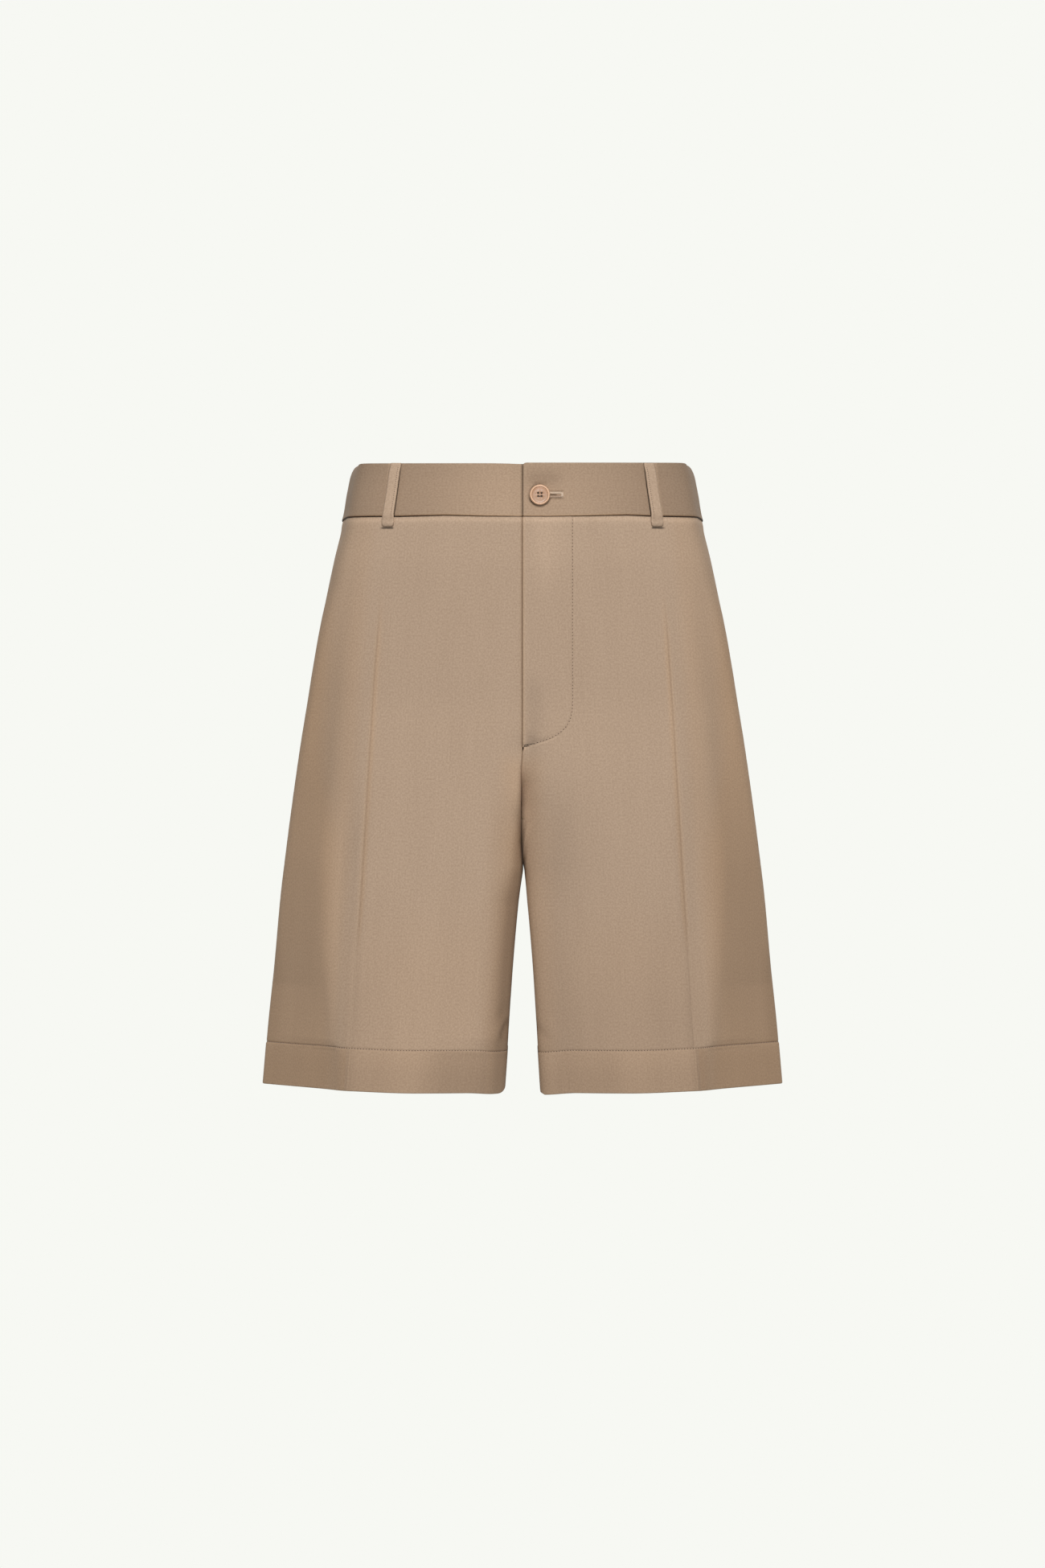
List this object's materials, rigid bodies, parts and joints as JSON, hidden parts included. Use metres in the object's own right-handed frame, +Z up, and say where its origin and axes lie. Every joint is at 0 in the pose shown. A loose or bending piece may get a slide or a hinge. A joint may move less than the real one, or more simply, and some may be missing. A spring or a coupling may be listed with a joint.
{
  "type": "bermuda shorts",
  "caption": "Bermuda shorts, filled out as when worn: pressed creases, buttoned waistband with belt loops, stitched fly and turned-up hems.",
  "frame": {"origin": "middle of the waistband's ring, half way up the band in front, where the wearer's waist holds it", "axes": "+Z up along the body, -Y to the front, +X to the wearer's left"},
  "size_m": [0.4264, 0.2427, 0.5098],
  "materials": {
    "cloth": "fine matte twill with a soft nap",
    "button": "semi-gloss horn-like resin",
    "thread": "matte sewing thread"
  },
  "bodies": {
    "root": {"front_left": "cloth", "front_right": "cloth", "back_left": "cloth", "back_right": "cloth", "waistband_left": "cloth", "waistband_right": "cloth", "fly_shield": "cloth", "belt_loop_front_left": "cloth", "belt_loop_front_right": "cloth", "belt_loop_back_left": "cloth", "belt_loop_back_right": "cloth", "belt_loop_centre_back": "cloth", "button": "button", "button_thread": "thread"}
  },
  "joints": []
}
